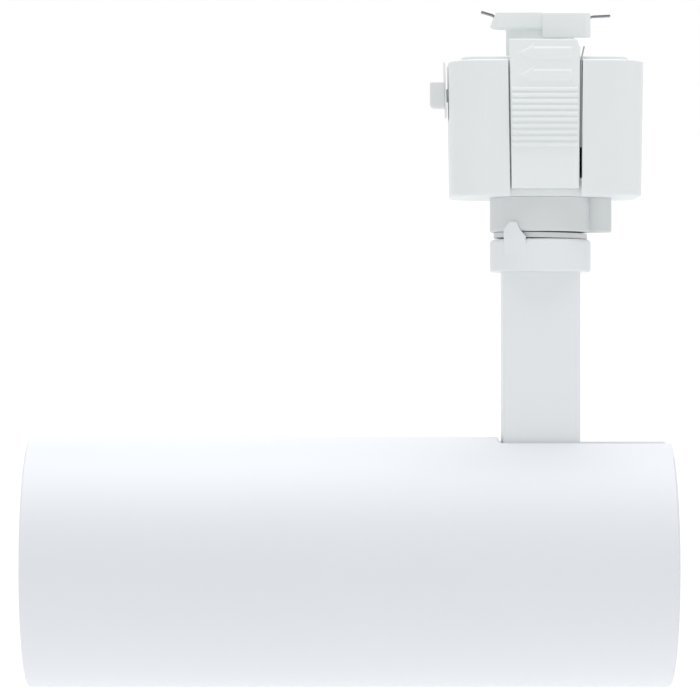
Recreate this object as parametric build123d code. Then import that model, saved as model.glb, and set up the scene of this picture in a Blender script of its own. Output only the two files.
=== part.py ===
from build123d import *
import os
from math import sqrt

# Track spotlight: a track adapter, a swivelling arm and a tilting cylindrical lamp.
# Millimetres.  +Z is up.  The origin is the centre of the round stem in the plane of the
# raised land that seats against the track.  +X is the rear of the lamp, -Y is the side
# with the latch.

# ---- fits and small features ----
RUN_FIT = 0.05            # radial clearance of a turning fit
SEAT_GAP = 0.05           # gap between parts that are seated against each other
SLIDE_GAP = 0.2           # gap round a sliding part
WALL = 2.0                # moulded wall of the adapter
EDGE = 0.8                # soft outer edge of the mouldings
THIN = 0.5                # thin contact strip
NUT_CHAMFER = 0.93        # small end of a nut's chamfer cone, as a part of its corner radius
PAST = 1.0                # how far a cutting shape runs past what it cuts
CROSS_SPAN = 1.2          # length of a screw's cross recess, as a part of the head's radius

# ---- adapter body ----
BODY_TOP_Z = -1.1
BODY_BOTTOM_Z = -34.4
BODY_CENTRE_X = 1.0
BODY_LENGTH = 48.0        # along X, at the top
BODY_DEPTH = 31.0         # along Y, at the top
BODY_CORNER_R = 8.5
BODY_DRAFT = 0.95         # degrees
LAND_LENGTH = 40.9
LAND_DEPTH = 24.6
LAND_CENTRE_X = 0.65
LAND_CORNER_R = 5.0
LID_THICK = 3.1
LID_SCREW_X = 16.45       # either side of the land's centre
LID_SCREW_Y = 8.3
POST_R = 2.6
SCREW_R = 1.25
SCREW_HEAD_R = 2.2
SCREW_HEAD_H = 1.3
LID_SCREW_LENGTH = 13.0

# ---- latch and its recess ----
RECESS_TOP_X = (-8.75, 9.6)
RECESS_BOTTOM_X = (-8.15, 9.25)
RECESS_FLOOR_Y = -13.2
RECESS_WALL = 1.5
RECESS_WALL_X = (-10.4, 11.7)
LATCH_FRONT_Y = -15.3
LATCH_BACK_Y = -13.5
LATCH_TOP_Z = 3.9
LATCH_BOTTOM_Z = -32.6
LATCH_CENTRE_X = 0.4
LATCH_TOP_X = (-8.5, 8.1)
LATCH_BOTTOM_X = (-7.8, 8.6)
LATCH_SHOULDERS = ((-8.3, -1.0), (-8.05, -16.0))   # bends of the left edge, X and Z
LATCH_CORNERS = ((8.9, 1.8), (8.8, -16.0))         # bends of the right edge
LATCH_EDGE = 0.25
LATCH_TRAVEL = 4.5
RIB_COUNT = 10
RIB_PITCH = 1.49
RIB_TOP_Z = -8.4
RIB_R = 0.5
RIB_X = (-7.8, 8.3)
SWELL_R = 35.0            # the ribs stand on a gentle swelling of this radius
SWELL_RISE = 0.8
ARROW_Z = (0.52, -4.98)   # centre lines of the two moulded arrows
ARROW_X = (-6.3, -2.2, 7.1)   # point, back of the head, end of the shaft
ARROW_HEAD = 2.3          # half height of the head at its foot
ARROW_SHAFT = 1.55        # half height of the shaft at its foot
ARROW_RELIEF = 0.3
ARROW_SLOPE = 60.0        # degrees between the arrow's sloping sides and a square edge
HOOK_Z = (-14.0, -11.5)
HOOK_NECK = 3.0
HOOK_WIDTH = 5.4
GUIDE_X = (-4.1, 4.9)
GUIDE_Y = (-11.8, -6.2)
GUIDE_Z = (-26.0, -8.0)
CHANNEL_WIDTH = 6.0
CHANNEL_Y = (-11.9, -7.7)
SPRING_Y = -9.8
SPRING_R = 1.5
SPRING_WIRE_R = 0.25
SPRING_TURNS = 7

# ---- track head ----
STEM_R = 8.5
STEM_FLAT_Y = 7.2         # flats front and back, above the land
STEM_FLANGE_R = 10.5
STEM_FLANGE_H = 2.1
HEAD_TOP_Z = 11.0
HEAD_LEFT_X = -12.2
HEAD_RIGHT_X = 12.0
HEAD_SPLIT_X = 0.1
HEAD_LEFT_Z = 6.7         # underside of the left wing
HEAD_RIGHT_Z = 4.75       # underside of the right wing
HEAD_LEFT_HALF = 8.0      # half depth along Y
HEAD_RIGHT_HALF = 8.7
HEAD_LEFT_R = 2.0         # upright corners of the left wing
HEAD_RIM = 0.3
HEAD_RAMP = 0.11          # rise of the wings' undersides per mm, from front to back
WING_BEVEL_ANGLE = 24.0   # bevel on the left wing's upper end
WING_BEVEL = (1.6, 3.6)
WING_CORNER_R = 1.6

# ---- contacts ----
CONTACT_WIDTH = 3.0
CONTACT_LEG_X = 5.0
CONTACT_Z = 9.9
CONTACT_END_Z = -17.0
CONTACT_NOTCH = 2.2       # open notch in each wing's end where the strip rises
CONTACT_THICK = 0.38
NEUTRAL_BENDS = ((-10.4, 9.9), (-11.9, 11.1), (-14.7, 11.9))
NEUTRAL_RADII = (0.6, 1.2, 1.6)
LIVE_BENDS = ((10.6, 9.9), (13.0, 10.75), (17.3, 10.95))
LIVE_RADII = (0.6, 2.0, 2.0)
EARTH_X = 9.14
EARTH_THICK = 0.3
EARTH_Y = -14.1
EARTH_WIDTH = 1.6
EARTH_FOOT_Z = -22.3
EARTH_FLARE = ((0.0, -3.0), (0.1, -1.0), (0.8, 2.1))   # from the strip's line, X and Z
EARTH_RADII = (4.0, 3.0)
EARTH_SLIT_Z = -30.0
EARTH_SLIT_X = 8.9

# ---- terminal block inside the adapter ----
BLOCK_LENGTH = 29.0
BLOCK_DEPTH = 10.0
BLOCK_Z = (-22.0, -13.0)
BLOCK_POST_X = 12.5
BLOCK_POST_R = 2.0
CLAMP_PITCH = 9.0

# ---- side button on a leaf ----
BUTTON_X = (-27.4, -23.7)
BUTTON_Z = (-12.0, -5.8)
BUTTON_WIDTH = 6.0
BUTTON_CORNER = 1.1
BUTTON_EDGE = 0.3
BUTTON_STEM_WIDTH = 3.0
LEAF_TOP = (-23.95, -0.4)      # X, Z of the leaf's upper end
LEAF_BOTTOM = (-23.45, -14.4)
LEAF_THICK = 0.4
LEAF_WIDTH = 8.0
LEAF_CORNER = 1.0
POCKET_WIDTH = 8.8
POCKET_FLOOR_X = -21.5
POCKET_BOTTOM_Z = -14.9

# ---- swivel ----
NECK_R = 12.5
NECK_BOTTOM_Z = -42.9
NECK_EDGE = 0.5
LUG_X = 13.5
LUG_R = 4.2
SPIGOT_SIDE = 12.4
NIPPLE_R = 4.9
NIPPLE_BORE_R = 3.6
NIPPLE_Z = (-49.6, -26.4)
NUT_FLATS = 14.0
NUT_Z = (-31.85, -27.85)
SPRING_WASHER_R = 8.0
WASHER_R = 11.6
WASHER_THICK = 1.35
WASHER_EDGE = 0.2
WASHER_Z = -43.8
WASHER_LEAN = 0.9         # degrees, the loose washer lies a little askew

# ---- collar and arm ----
COLLAR_R = 12.5
COLLAR_Z = (-52.75, -44.7)
COLLAR_EDGE = 1.0
TOOTH_ANGLE = -127.0      # degrees from +X, about Z
TOOTH_R = (12.65, 13.15)
TOOTH_ROOT_Z = -51.5
TOOTH_OUTLINE = (         # along the rim and up, from the tooth's middle
    (-2.1, -42.4), (-1.15, -41.5), (-0.15, -40.6), (1.55, -40.6), (2.3, -42.4), (3.85, -44.2),
)
ARM_X = 19.0
ARM_Y = 15.0
ARM_EDGE = 0.8
ARM_WALL = 2.0
ARM_SOCKET = 3.0          # depth of the arm in the collar
ARM_BORE_FLOOR_Z = -117.0
ARM_EXIT_Z = -114.5
ARM_EXIT_H = 5.0
ARM_EXIT_W = 7.0
WIRE_PITCH = 2.1
WIRE_BEND_R = 4.0
WIRE_TAIL = 2.6           # length the wires stand out of the nipple
WIRE_END = 1.5            # length they stand out of the arm

# ---- lamp ----
AXIS_Z = -124.7           # lamp axis and tilt axis
TUBE_R = 31.0
TUBE_WALL = 2.0
TUBE_FRONT_X = -126.75
TUBE_REAR_X = 31.9
TUBE_EDGE = 0.5
SLOT_WIDTH = 17.0
SLOT_FRONT_X = -10.5
SLOT_BELOW = 10.5         # the rear slot runs this far below the axis
INNER_GAP = 0.05          # discs seated in the tube
CAP_THICK = 2.5
CAP_RECESS = 1.0
CAP_POST_Y = 20.0
CAP_POST_DZ = -10.0
CAP_POST_R = 3.0
SLOT_CORNER_R = 1.5

# ---- tilt pivot ----
PIN_R = 3.0
PIN_HEAD_R = 5.0
PIN_HEAD_H = 2.4
PIVOT_NUT_FLATS = 9.0
PIVOT_NUT_H = 2.8
FRICTION_R = 8.0
FRICTION_THICK = 0.6
CHEEK_THICK = 2.0
CHEEK_R = 13.0
BRACKET_FRONT_X = -16.0
BULKHEAD_X = (-19.0, -16.05)
CABLE_HOLE_R = 3.6
CABLE_DZ = ARM_EXIT_Z - AXIS_Z   # cable holes above the lamp axis
BRACKET_SCREW_Y = 4.5
BRACKET_SCREW_DZ = -8.0
SMALL_SCREW_R = 1.5
SMALL_HEAD_R = 2.8
SMALL_HEAD_H = 1.8

# ---- driver ----
CASE_X = (-58.0, -19.1)
CASE_Y = 21.0             # half width
CASE_DZ = 15.0            # half height
CASE_WALL = 1.5
CASE_SPLIT_DZ = 6.0       # the cover starts this far above the axis
CASE_CORNER = 3.0
BOARD_X = (-56.0, -23.0)
BOARD_Y = 18.5
BOARD_DZ = -10.5
BOARD_THICK = 1.6
CASE_SCREW_Y = 14.0
FOOT_R = 2.0
FOOT_INSET = 4.0
CORE_X = (-46.0, -32.0)   # transformer core
CORE_Y = (-3.0, 13.0)
CORE_HEIGHT = 13.0
CORE_LEG = 2.5
WINDING_GAP = 1.0
WINDING_EDGE = 1.5
CANS = ((-51.0, 6.0, 4.0, 13.0), (-40.0, -11.0, 5.0, 15.0), (-28.0, -11.0, 4.0, 11.0))   # X, Y, R, height
CHOKE_SPOT = (-50.5, -9.0)
CHOKE_R = (3.4, 1.6)      # ring and winding
LEAD_R = 0.8
LEADS_X = (-26.0, -12.0)

# ---- light engine ----
SINK_X = (-97.0, -62.0)
SINK_BASE = 4.0
SINK_CORE_R = 9.0
SINK_FIN_R = 28.4
SINK_FINS = 20
SINK_FIN_THICK = 1.2
LED_HOLE_DZ = 21.0
LED_HOLE_R = 2.5
COB_SIDE = 19.0
COB_THICK = 1.0
EMITTER_R = 7.0
EMITTER_THICK = 0.6
HOLDER_R = 18.5
HOLDER_BORE_R = 8.2
HOLDER_THICK = 3.4
HOLDER_SCREW_R = 14.2
HOLDER_SCREW_GRIP = 2.5   # depth of its thread in the heat sink
LED_LEAD_Y = 1.0          # either side of the middle
LED_LEAD_TAIL = 3.0
LED_LEAD_STAND = 1.6      # clear of the heat sink's face
LED_LEAD_GAP = 0.4        # clear of the holder's rim
LED_LEAD_BEND_R = 1.0
REFLECTOR_BACK_X = -101.4
REFLECTOR_FRONT_X = -121.6
REFLECTOR_BACK_R = 8.6
REFLECTOR_FRONT_R = 25.8
REFLECTOR_THICK = 0.8
REFLECTOR_RIM_R = 28.6
BOWL_START = (-0.55, 1.0)     # direction of the bowl's wall at the back, along X and outward
BOWL_END = (-1.0, 0.28)       # and at the front
GLASS_R = 28.6
GLASS_THICK = 1.5
GLASS_EDGE = 0.2
BEZEL_BORE_R = 25.8
BEZEL_FRONT_X = -126.05
BEZEL_EDGE = 1.0


def tube_bore_r():
    """Inner radius of the lamp tube."""
    return TUBE_R - TUBE_WALL


def block_between(x, y, z):
    """Box from three (low, high) pairs."""
    centre = (sum(x) / 2, sum(y) / 2, sum(z) / 2)
    return Pos(*centre) * Box(x[1] - x[0], y[1] - y[0], z[1] - z[0])


def rod_z(radius, z):
    """Cylinder on the adapter axis between two heights."""
    return Pos(0, 0, (z[0] + z[1]) / 2) * Cylinder(radius, z[1] - z[0])


def rod_x(radius, x, y=0.0, dz=0.0):
    """Cylinder along X, placed from the lamp axis."""
    place = Pos((x[0] + x[1]) / 2, y, AXIS_Z + dz) * Rot(0, 90, 0)
    return place * Cylinder(radius, x[1] - x[0])


def rod_y(radius, y):
    """Cylinder along Y, centred on the tilt axis."""
    place = Pos(0, (y[0] + y[1]) / 2, AXIS_Z) * Rot(90, 0, 0)
    return place * Cylinder(radius, y[1] - y[0])


def strip(points, radii, width, thick):
    """Flat metal strip: a bent line in the XZ plane, given as (x, z), with a width along Y."""
    line = FilletPolyline(*points, radius=list(radii))
    return extrude(Plane.XZ * trace(line, thick), amount=width / 2, both=True)


def wire(points, bend_r):
    """Round insulated wire along straight runs joined by arcs."""
    path = FilletPolyline(*points, radius=bend_r)
    return sweep(Plane(path @ 0, z_dir=path % 0) * Circle(LEAD_R), path=path)


def hex_nut(flats, thick, bore_r):
    """Hexagon nut standing on the XY plane with chamfered corners."""
    body = extrude(RegularPolygon(flats / 2, 6, major_radius=False), amount=thick)
    corner_r = flats / sqrt(3)
    cone = Cone(corner_r + thick, corner_r * NUT_CHAMFER, thick)
    body &= Pos(0, 0, thick / 2) * cone
    return body - Pos(0, 0, thick / 2) * Cylinder(bore_r, thick)


def cross_recess(head_r, depth):
    """Cross-shaped tool for a screw head's recess."""
    span = head_r * CROSS_SPAN
    return Box(span, THIN, depth) + Box(THIN, span, depth)


def pan_screw(length):
    """Pan-head screw: head above the XY plane, shank below, cross recess in the head."""
    head = Pos(0, 0, SMALL_HEAD_H / 2) * Cylinder(SMALL_HEAD_R, SMALL_HEAD_H)
    head = fillet(head.edges().sort_by(Axis.Z)[-1], SMALL_HEAD_H / 3)
    shank = Pos(0, 0, -length / 2) * Cylinder(SMALL_SCREW_R, length)
    return head + shank - Pos(0, 0, SMALL_HEAD_H) * cross_recess(SMALL_HEAD_R, SMALL_HEAD_H)


def countersunk_screw():
    """Countersunk screw with its head's top in the XY plane and a cross recess."""
    head = Pos(0, 0, -SCREW_HEAD_H / 2) * Cone(SCREW_R, SCREW_HEAD_R, SCREW_HEAD_H)
    shank = Pos(0, 0, -LID_SCREW_LENGTH / 2) * Cylinder(SCREW_R, LID_SCREW_LENGTH)
    return head + shank - cross_recess(SCREW_HEAD_R, SCREW_HEAD_H)


# ---- adapter ----

def lid_screw_spots():
    """The four lid screws, as (x, y)."""
    return [
        (LAND_CENTRE_X + sx * LID_SCREW_X, sy * LID_SCREW_Y)
        for sx in (-1, 1)
        for sy in (-1, 1)
    ]


def body_block(inset, top_z, bottom_z):
    """Drafted block with round corners: the body's outer form pulled in by inset."""
    outline = RectangleRounded(
        BODY_LENGTH - 2 * inset, BODY_DEPTH - 2 * inset, BODY_CORNER_R - inset
    )
    face = Plane((BODY_CENTRE_X, 0, top_z), z_dir=(0, 0, -1)) * outline
    return extrude(face, amount=top_z - bottom_z, taper=BODY_DRAFT)


def recess_space():
    """The open recess the latch slides in: a little narrower towards the bottom."""
    outline = Polyline(
        (RECESS_TOP_X[0], PAST), (RECESS_TOP_X[1], PAST),
        (RECESS_BOTTOM_X[1], BODY_BOTTOM_Z - PAST), (RECESS_BOTTOM_X[0], BODY_BOTTOM_Z - PAST),
        close=True,
    )
    floor = Plane((0, RECESS_FLOOR_Y, 0), x_dir=(1, 0, 0), z_dir=(0, -1, 0))
    return extrude(floor * make_face(outline), amount=BODY_DEPTH / 2)


def make_adapter_body():
    """Moulded shell with a floor, latch recess, spring guide, posts and button pocket."""
    outer = body_block(0, BODY_TOP_Z, BODY_BOTTOM_Z)
    outer = fillet(outer.faces().sort_by(Axis.Z)[0].edges(), EDGE)
    outer = chamfer(outer.faces().sort_by(Axis.Z)[-1].edges(), EDGE / 3)
    body = outer - body_block(WALL, -LID_THICK, BODY_BOTTOM_Z + WALL)
    body -= lid_outline(SEAT_GAP)
    wall_y = (RECESS_FLOOR_Y, RECESS_FLOOR_Y + RECESS_WALL)
    inside = body_block(WALL / 2, BODY_TOP_Z - WALL, BODY_BOTTOM_Z + WALL / 2)
    front = block_between(RECESS_WALL_X, (-BODY_DEPTH, wall_y[1]), (BODY_BOTTOM_Z, -LID_THICK))
    body += front & inside
    body += block_between(GUIDE_X, GUIDE_Y, GUIDE_Z)
    for x, y in lid_screw_spots():
        body += Pos(x, y, 0) * rod_z(POST_R, (BODY_BOTTOM_Z + WALL / 2, -LID_THICK - SEAT_GAP))
    for side in (-1, 1):
        foot = rod_z(BLOCK_POST_R, (BODY_BOTTOM_Z + WALL / 2, BLOCK_Z[0] - SEAT_GAP))
        body += Pos(side * BLOCK_POST_X, 0, 0) * foot
    body -= recess_space()
    channel_x = (LATCH_CENTRE_X - CHANNEL_WIDTH / 2, LATCH_CENTRE_X + CHANNEL_WIDTH / 2)
    body -= block_between(channel_x, CHANNEL_Y, (GUIDE_Z[0] + RECESS_WALL, GUIDE_Z[1] + WALL))
    slit_half = HOOK_NECK / 2 + SLIDE_GAP
    slit_x = (LATCH_CENTRE_X - slit_half, LATCH_CENTRE_X + slit_half)
    slit_z = (HOOK_Z[0] - LATCH_TRAVEL - SLIDE_GAP, HOOK_Z[1] + SLIDE_GAP)
    body -= block_between(slit_x, (RECESS_FLOOR_Y - WALL, CHANNEL_Y[0] + WALL), slit_z)
    earth_x = (EARTH_SLIT_X, RECESS_BOTTOM_X[1] + SLIDE_GAP)
    earth_z = (EARTH_SLIT_Z, -LID_THICK - WALL)
    body -= block_between(earth_x, (RECESS_FLOOR_Y - WALL, wall_y[1] + WALL), earth_z)
    pocket_x = (BODY_CENTRE_X - BODY_LENGTH, POCKET_FLOOR_X)
    pocket_y = (-POCKET_WIDTH / 2, POCKET_WIDTH / 2)
    body -= block_between(pocket_x, pocket_y, (POCKET_BOTTOM_Z, 0))
    stem_half = BUTTON_STEM_WIDTH / 2 + SLIDE_GAP
    stem_z = sum(BUTTON_Z) / 2
    body -= block_between(
        (POCKET_FLOOR_X - WALL, POCKET_FLOOR_X + WALL),
        (-stem_half, stem_half),
        (stem_z - stem_half, stem_z + stem_half),
    )
    for x, y in lid_screw_spots():
        body -= Pos(x, y, 0) * rod_z(SCREW_R + SEAT_GAP, (-LID_SCREW_LENGTH - WALL, 0))
    spigot = Box(SPIGOT_SIDE + 2 * SEAT_GAP, SPIGOT_SIDE + 2 * SEAT_GAP, 2 * WALL)
    return body - Pos(0, 0, BODY_BOTTOM_Z + WALL / 2) * spigot


def lid_outline(extra):
    """The lid's plan as a block, grown by extra."""
    outline = RectangleRounded(
        LAND_LENGTH + 2 * extra, LAND_DEPTH + 2 * extra, LAND_CORNER_R + extra
    )
    return extrude(Pos(LAND_CENTRE_X, 0, -LID_THICK) * outline, amount=LID_THICK)


def make_adapter_lid():
    """Lid whose top is the raised land that seats on the track."""
    lid = lid_outline(0)
    lid = chamfer(lid.faces().sort_by(Axis.Z)[-1].edges(), EDGE / 4)
    lid -= rod_z(STEM_R + 2 * SEAT_GAP, (-LID_THICK - WALL, WALL))
    sink_h = SCREW_HEAD_H + SEAT_GAP
    for x, y in lid_screw_spots():
        lid -= Pos(x, y, 0) * rod_z(SCREW_R + SEAT_GAP, (-LID_THICK - WALL, WALL))
        cone = Cone(SCREW_R + SEAT_GAP, SCREW_HEAD_R + 2 * SEAT_GAP, sink_h)
        lid -= Pos(x, y, -sink_h / 2) * cone
    return lid


def make_lid_screws():
    """Four countersunk screws, heads just below the land."""
    return Compound([Pos(x, y, -SEAT_GAP) * countersunk_screw() for x, y in lid_screw_spots()])


def wing_ramp(half, foot_z):
    """Wedge taken off the underside of a wing, which climbs under the track's lips as it turns."""
    side = Polyline(
        (-half, foot_z), (half + PAST, foot_z), (half + PAST, foot_z + HEAD_RAMP * (2 * half + PAST)),
        close=True,
    )
    return extrude(Plane.YZ * make_face(side), amount=BODY_DEPTH, both=True)


def make_track_head():
    """Round stem with a flange, carrying two unlike wings that turn under the track's lips."""
    head = rod_z(STEM_R, (0, HEAD_TOP_Z - WALL))
    head &= Box(2 * STEM_R, 2 * STEM_FLAT_Y, 2 * HEAD_TOP_Z)
    head += rod_z(STEM_R, (-LID_THICK - SEAT_GAP, 0))
    flange_z = (-LID_THICK - SEAT_GAP - STEM_FLANGE_H, -LID_THICK - SEAT_GAP)
    head += rod_z(STEM_FLANGE_R, flange_z)
    left_length = HEAD_SPLIT_X - HEAD_LEFT_X
    left_height = HEAD_TOP_Z - HEAD_LEFT_Z
    left = Pos((HEAD_SPLIT_X + HEAD_LEFT_X) / 2, 0, HEAD_LEFT_Z + left_height / 2) * Box(
        left_length, 2 * HEAD_LEFT_HALF, left_height
    )
    left -= wing_ramp(HEAD_LEFT_HALF, HEAD_LEFT_Z)
    left = fillet(left.edges().filter_by(Axis.Z).group_by(Axis.X)[0], HEAD_LEFT_R)
    left = fillet(left.faces().sort_by(Axis.Z)[0].edges().group_by(Axis.X)[0], EDGE)
    bevel = Rot(0, WING_BEVEL_ANGLE, 0) * Box(WING_BEVEL[0], BODY_DEPTH, WING_BEVEL[1])
    left -= Pos(HEAD_LEFT_X, 0, HEAD_TOP_Z) * bevel
    right = block_between(
        (HEAD_SPLIT_X, HEAD_RIGHT_X), (-HEAD_RIGHT_HALF, HEAD_RIGHT_HALF), (HEAD_RIGHT_Z, HEAD_TOP_Z)
    )
    right = fillet(right.edges().filter_by(Axis.Z).group_by(Axis.X)[-1], WING_CORNER_R)
    right -= wing_ramp(HEAD_RIGHT_HALF, HEAD_RIGHT_Z)
    right = fillet(right.faces().sort_by(Axis.Z)[-1].edges(), HEAD_RIM)
    right = fillet(right.faces().sort_by(Axis.Z)[0].edges(), HEAD_RIM)
    head += left + right
    slot_y = CONTACT_WIDTH / 2 + SLIDE_GAP
    for side in (-1, 1):
        leg_x = (side * CONTACT_LEG_X - THIN, side * CONTACT_LEG_X + THIN)
        head -= block_between(leg_x, (-slot_y, slot_y), (-4 * WALL, CONTACT_Z + THIN))
        out_x = sorted((side * CONTACT_LEG_X, side * BODY_DEPTH))
        head -= block_between(out_x, (-slot_y, slot_y), (CONTACT_Z - THIN, CONTACT_Z + THIN))
    notch = (-slot_y, slot_y), (CONTACT_Z - THIN, HEAD_TOP_Z + WALL)
    head -= block_between((HEAD_LEFT_X, HEAD_LEFT_X + CONTACT_NOTCH), *notch)
    return head - block_between((HEAD_RIGHT_X - CONTACT_NOTCH, HEAD_RIGHT_X), *notch)


def make_neutral_contact():
    """Left contact strip: springs up and out over the left wing."""
    leg = [(-CONTACT_LEG_X, CONTACT_END_Z), (-CONTACT_LEG_X, CONTACT_Z)]
    return strip([*leg, *NEUTRAL_BENDS], NEUTRAL_RADII, CONTACT_WIDTH, CONTACT_THICK)


def make_live_contact():
    """Right contact strip: leaves the right wing almost level."""
    leg = [(CONTACT_LEG_X, CONTACT_END_Z), (CONTACT_LEG_X, CONTACT_Z)]
    return strip([*leg, *LIVE_BENDS], LIVE_RADII, CONTACT_WIDTH, CONTACT_THICK)


def make_earth_contact():
    """Earth strip beside the latch: flared tip at the top, foot turned in under the block."""
    flare = [(EARTH_X + dx, z) for dx, z in EARTH_FLARE]
    blade = strip([(EARTH_X, EARTH_FOOT_Z), *flare], EARTH_RADII, EARTH_WIDTH, EARTH_THICK)
    foot = block_between(
        (EARTH_X - EARTH_THICK / 2, EARTH_X + EARTH_THICK / 2),
        (EARTH_Y - EARTH_WIDTH / 2, -BLOCK_DEPTH / 4),
        (EARTH_FOOT_Z - THIN / 2, EARTH_FOOT_Z + THIN / 2),
    )
    return Pos(0, EARTH_Y, 0) * blade + foot


def make_terminal_block():
    """Insulating block that joins the three contacts to the wires."""
    block = block_between(
        (-BLOCK_LENGTH / 2, BLOCK_LENGTH / 2), (-BLOCK_DEPTH / 2, BLOCK_DEPTH / 2), BLOCK_Z
    )
    block = fillet(block.edges().filter_by(Axis.Z), EDGE)
    slot_y = CONTACT_WIDTH / 2 + SLIDE_GAP
    for side in (-1, 1):
        leg_x = (side * CONTACT_LEG_X - THIN, side * CONTACT_LEG_X + THIN)
        block -= block_between(leg_x, (-slot_y, slot_y), (CONTACT_END_Z - THIN, BLOCK_Z[1] + WALL))
    screw_z = BLOCK_Z[0] + WALL
    for index in (-1, 0, 1):
        place = Pos(index * CLAMP_PITCH, BLOCK_DEPTH / 2 - WALL, screw_z) * Rot(-90, 0, 0)
        block -= place * Cylinder(SMALL_SCREW_R + SEAT_GAP, 2 * WALL + THIN)
    return block


def make_terminal_screws():
    """Three clamp screws in the back of the terminal block."""
    screws = []
    for index in (-1, 0, 1):
        place = Pos(index * CLAMP_PITCH, BLOCK_DEPTH / 2 + SEAT_GAP, BLOCK_Z[0] + WALL)
        screws.append(place * Rot(-90, 0, 0) * pan_screw(2 * WALL))
    return Compound(screws)


# ---- latch ----

def front_of_latch(y):
    """Plane parallel to the latch's face at a depth y, with its own Y axis pointing up."""
    return Plane((0, y, 0), x_dir=(1, 0, 0), z_dir=(0, -1, 0))


def arrow(centre_z):
    """Raised solid arrow pointing towards -X, standing on the latch's face."""
    point, back, end = ARROW_X
    upper = [(point, 0), (back, ARROW_HEAD), (back, ARROW_SHAFT), (end, ARROW_SHAFT)]
    lower = [(x, -z) for x, z in reversed(upper[1:])]
    outline = Polyline(*[(x, centre_z + z) for x, z in upper + lower], close=True)
    face = front_of_latch(LATCH_FRONT_Y) * make_face(outline)
    return extrude(face, amount=ARROW_RELIEF, taper=ARROW_SLOPE)


def finger_ribs():
    """Ten round ribs on a gentle swelling of the face."""
    middle_z = RIB_TOP_Z - RIB_PITCH * (RIB_COUNT - 1) / 2
    centre_y = LATCH_FRONT_Y - SWELL_RISE + SWELL_R
    lying = Rot(0, 90, 0)
    length = RIB_X[1] - RIB_X[0]
    centre_x = sum(RIB_X) / 2
    swell = Pos(centre_x, centre_y, middle_z) * lying * Cylinder(SWELL_R, length)
    half = RIB_PITCH * RIB_COUNT / 2
    near_face = (LATCH_FRONT_Y - PAST, LATCH_FRONT_Y + THIN)
    ribs = swell & block_between(RIB_X, near_face, (middle_z - half, middle_z + half))
    for index in range(RIB_COUNT):
        z = RIB_TOP_Z - index * RIB_PITCH
        y = centre_y - sqrt(SWELL_R ** 2 - (z - middle_z) ** 2)
        ribs += Pos(centre_x, y, z) * lying * Cylinder(RIB_R, length)
    return ribs


def make_latch():
    """Sliding latch: smooth plate with two arrows, ten finger ribs and a guide hook behind."""
    outline = Polyline(
        (LATCH_TOP_X[0], LATCH_TOP_Z), (LATCH_TOP_X[1], LATCH_TOP_Z), *LATCH_CORNERS,
        (LATCH_BOTTOM_X[1], LATCH_BOTTOM_Z), (LATCH_BOTTOM_X[0], LATCH_BOTTOM_Z),
        *reversed(LATCH_SHOULDERS), close=True,
    )
    thick = LATCH_BACK_Y - LATCH_FRONT_Y
    plate = extrude(front_of_latch(LATCH_BACK_Y) * make_face(outline), amount=thick)
    plate = fillet(plate.faces().sort_by(Axis.Y)[0].edges(), LATCH_EDGE)
    plate += finger_ribs()
    for centre_z in ARROW_Z:
        plate += arrow(centre_z)
    neck_x = (LATCH_CENTRE_X - HOOK_NECK / 2, LATCH_CENTRE_X + HOOK_NECK / 2)
    bar_x = (LATCH_CENTRE_X - HOOK_WIDTH / 2, LATCH_CENTRE_X + HOOK_WIDTH / 2)
    bar_y = (CHANNEL_Y[0] + 2 * SLIDE_GAP, CHANNEL_Y[1] - SLIDE_GAP)
    plate += block_between(neck_x, (LATCH_BACK_Y - THIN, bar_y[1]), HOOK_Z)
    return plate + block_between(bar_x, bar_y, HOOK_Z)


def make_latch_spring():
    """Compression spring between the latch's hook and the bottom of its guide."""
    bottom = GUIDE_Z[0] + RECESS_WALL + SPRING_WIRE_R + SEAT_GAP
    top = HOOK_Z[0] - SPRING_WIRE_R - SEAT_GAP
    coil = Helix((top - bottom) / SPRING_TURNS, top - bottom, SPRING_R)
    profile = Plane(coil @ 0, z_dir=coil % 0) * Circle(SPRING_WIRE_R)
    return Pos(LATCH_CENTRE_X, SPRING_Y, bottom) * sweep(profile, path=coil)


# ---- side button ----

def make_side_button():
    """Push button with a square stem that passes through the leaf and the wall."""
    cap = block_between(BUTTON_X, (-BUTTON_WIDTH / 2, BUTTON_WIDTH / 2), BUTTON_Z)
    lower = cap.edges().filter_by(Axis.Y).group_by(Axis.X)[0].sort_by(Axis.Z)[0]
    cap = fillet(lower, BUTTON_CORNER)
    cap = fillet(cap.faces().sort_by(Axis.X)[0].edges(), BUTTON_EDGE)
    cap -= leaf_plate(LEAF_THICK + 2 * SEAT_GAP)
    half = BUTTON_STEM_WIDTH / 2
    stem_z = sum(BUTTON_Z) / 2
    stem_x = (BUTTON_X[0] + PAST, POCKET_FLOOR_X + WALL)
    stem = block_between(stem_x, (-half, half), (stem_z - half, stem_z + half))
    return cap.solids().sort_by(Axis.X)[0] + stem


def leaf_plate(thick):
    """The leaf's flat blank, leaning a little away from the wall towards its top."""
    rise = Vector(LEAF_TOP[0] - LEAF_BOTTOM[0], 0, LEAF_TOP[1] - LEAF_BOTTOM[1])
    middle = ((LEAF_TOP[0] + LEAF_BOTTOM[0]) / 2, 0, (LEAF_TOP[1] + LEAF_BOTTOM[1]) / 2)
    plane = Plane(middle, x_dir=(0, 1, 0), z_dir=rise.cross(Vector(0, 1, 0)))
    blank = RectangleRounded(LEAF_WIDTH, rise.length, LEAF_CORNER)
    return extrude(plane * blank, amount=thick / 2, both=True)


def make_button_leaf():
    """Spring leaf behind the button, pierced for the button's stem."""
    leaf = leaf_plate(LEAF_THICK)
    hole = BUTTON_STEM_WIDTH + 2 * SEAT_GAP
    return leaf - Pos(LEAF_TOP[0], 0, sum(BUTTON_Z) / 2) * Box(2 * WALL, hole, hole)


# ---- swivel ----

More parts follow.
